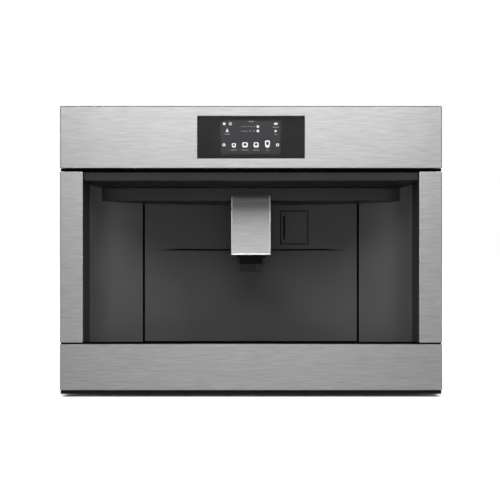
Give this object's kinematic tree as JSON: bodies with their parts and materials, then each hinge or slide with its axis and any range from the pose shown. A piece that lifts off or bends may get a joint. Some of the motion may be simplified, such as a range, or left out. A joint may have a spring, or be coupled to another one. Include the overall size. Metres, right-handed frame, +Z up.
{
  "type": "built in coffee machine",
  "caption": "Steel-fronted built-in bean-to-cup coffee machine with a curved cup niche, sliding spout, hinged front door, lift-out tank and telescopic runners.",
  "frame": {"origin": "centre of the bounding box's base, on the cabinet shelf", "axes": "+X to the machine's right as seen from the front, +Y to the back of the cabinet, +Z up"},
  "size_m": [0.596, 0.44, 0.455],
  "materials": {
    "brushed_steel": "fine horizontal brushing",
    "zinc_steel": "zinc-plated sheet",
    "black_shell": "fine satin grain",
    "dark_trim": "smooth black",
    "black_glass": "polished black glass",
    "screen": "display panel",
    "circuit": "solder mask",
    "clear_plastic": "smoked clear plastic",
    "light_lens": "frosted diffuser",
    "grey_plastic": "moulded grey plastic",
    "red_float": "moulded red plastic",
    "rubber": "matt",
    "aluminium": "cast and machined"
  },
  "bodies": {
    "runner_base": {"cabinet_runners": "zinc_steel"},
    "middle_rail_left": {"middle_runner_left": "zinc_steel"},
    "middle_rail_right": {"middle_runner_right": "zinc_steel"},
    "machine": {"inner_runner_left": "zinc_steel", "inner_runner_right": "zinc_steel", "side_panel_left": "zinc_steel", "side_panel_right": "zinc_steel", "rear_panel": "zinc_steel", "chassis_pan": "zinc_steel", "front_bulkhead": "zinc_steel", "top_cover": "zinc_steel", "front_frame": "dark_trim", "top_fascia": "brushed_steel", "display_glass": "black_glass", "touch_display": "screen", "control_board": "circuit", "plinth_strip": "dark_trim", "lower_hinge_pin": "zinc_steel", "upper_hinge_pin": "zinc_steel", "drip_tray": "black_shell", "grounds_bin": "grey_plastic", "bean_hopper": "clear_plastic", "grinder_body": "aluminium", "upper_burr": "zinc_steel", "grinder_motor": "zinc_steel", "brew_frame": "dark_trim", "upper_piston": "grey_plastic", "brew_gearmotor": "aluminium", "tank_dock": "grey_plastic", "vibration_pump": "zinc_steel", "boiler": "aluminium", "power_inlet": "rubber"},
    "front_door": {"door_frame": "dark_trim", "lower_fascia": "brushed_steel", "side_trim_left": "brushed_steel", "side_trim_right": "brushed_steel", "niche_wing_left": "black_shell", "niche_wing_right": "black_shell", "niche_ceiling": "dark_trim", "light_canopy": "dark_trim", "niche_light": "light_lens", "niche_back_panel": "black_shell", "door_rear_frame": "zinc_steel", "hot_water_nozzle": "aluminium", "spout_guide": "dark_trim"},
    "spout": {"spout_cover": "brushed_steel", "spout_carriage": "dark_trim", "nozzle_block": "dark_trim"},
    "flap": {"hot_water_flap": "black_shell"},
    "cup_grid": {"cup_grid": "brushed_steel"},
    "level_float": {"level_float": "red_float"},
    "bean_lid": {"bean_lid": "clear_plastic"},
    "ground_coffee_lid": {"ground_coffee_lid": "dark_trim"},
    "water_tank": {"water_tank": "clear_plastic"},
    "tank_lid": {"tank_lid": "dark_trim"},
    "grind_knob": {"grind_knob": "dark_trim"},
    "lower_burr": {"lower_burr": "zinc_steel"},
    "lead_screw": {"lead_screw": "zinc_steel"},
    "brew_chamber": {"brew_chamber": "grey_plastic"},
    "power_switch": {"power_switch": "rubber"}
  },
  "joints": [
    {"name": "machine_slide", "type": "slide", "parent": "runner_base", "child": "machine", "axis": [0, -1, 0], "range_m": [0, 0.3]},
    {"name": "middle_rail_left_slide", "type": "slide", "parent": "runner_base", "child": "middle_rail_left", "axis": [0, -1, 0], "range_m": [0, 0.15]},
    {"name": "middle_rail_right_slide", "type": "slide", "parent": "runner_base", "child": "middle_rail_right", "axis": [0, -1, 0], "range_m": [0, 0.15]},
    {"name": "door_hinge", "type": "hinge", "parent": "machine", "child": "front_door", "pos_m": [-0.291, -0.212, 0.18], "axis": [0, 0, -1], "range_deg": [0, 95]},
    {"name": "spout_slide", "type": "slide", "parent": "front_door", "child": "spout", "axis": [0, 0, -1], "range_m": [0, 0.057]},
    {"name": "flap_hinge", "type": "hinge", "parent": "front_door", "child": "flap", "pos_m": [0.1053, -0.078, 0.2725], "axis": [0, 0, 1], "range_deg": [0, 100]},
    {"name": "grid_lift", "type": "slide", "parent": "machine", "child": "cup_grid", "axis": [0, 0, 1], "range_m": [0, 0.04]},
    {"name": "float_rise", "type": "slide", "parent": "machine", "child": "level_float", "axis": [0, 0, 1], "range_m": [0, 0.008]},
    {"name": "bean_lid_hinge", "type": "hinge", "parent": "machine", "child": "bean_lid", "pos_m": [-0.022, 0.186, 0.442], "axis": [-1, 0, 0], "range_deg": [0, 95]},
    {"name": "ground_coffee_lid_hinge", "type": "hinge", "parent": "machine", "child": "ground_coffee_lid", "pos_m": [0.0783, 0.052, 0.442], "axis": [-1, 0, 0], "range_deg": [0, 95]},
    {"name": "tank_lift", "type": "slide", "parent": "machine", "child": "water_tank", "axis": [0, 0, 1], "range_m": [0, 0.21]},
    {"name": "tank_lid_hinge", "type": "hinge", "parent": "water_tank", "child": "tank_lid", "pos_m": [-0.2075, 0.208, 0.4401], "axis": [-1, 0, 0], "range_deg": [0, 95]},
    {"name": "grind_setting", "type": "hinge", "parent": "machine", "child": "grind_knob", "pos_m": [-0.13, 0.03, 0.44], "axis": [0, 0, 1], "range_deg": [0, 270]},
    {"name": "burr_spin", "type": "hinge", "parent": "machine", "child": "lower_burr", "pos_m": [0, 0.092, 0.34], "axis": [0, 0, 1], "continuous": true},
    {"name": "brew_screw", "type": "hinge", "parent": "machine", "child": "lead_screw", "pos_m": [0, 0.036, 0.18], "axis": [0, 0, 1], "range_deg": [0, 1080]},
    {"name": "brew_lift", "type": "slide", "parent": "machine", "child": "brew_chamber", "axis": [0, 0, 1], "range_m": [0, 0.06]},
    {"name": "power_rocker", "type": "hinge", "parent": "machine", "child": "power_switch", "pos_m": [0.16, 0.2145, 0.09], "axis": [1, 0, 0], "range_deg": [-8, 8]}
  ],
  "couplings": [
    {"joint": "middle_rail_left_slide", "follows": "machine_slide", "ratio": 0.5},
    {"joint": "middle_rail_right_slide", "follows": "machine_slide", "ratio": 0.5},
    {"joint": "brew_screw", "follows": "brew_lift", "rad_per_m": 314.16}
  ]
}
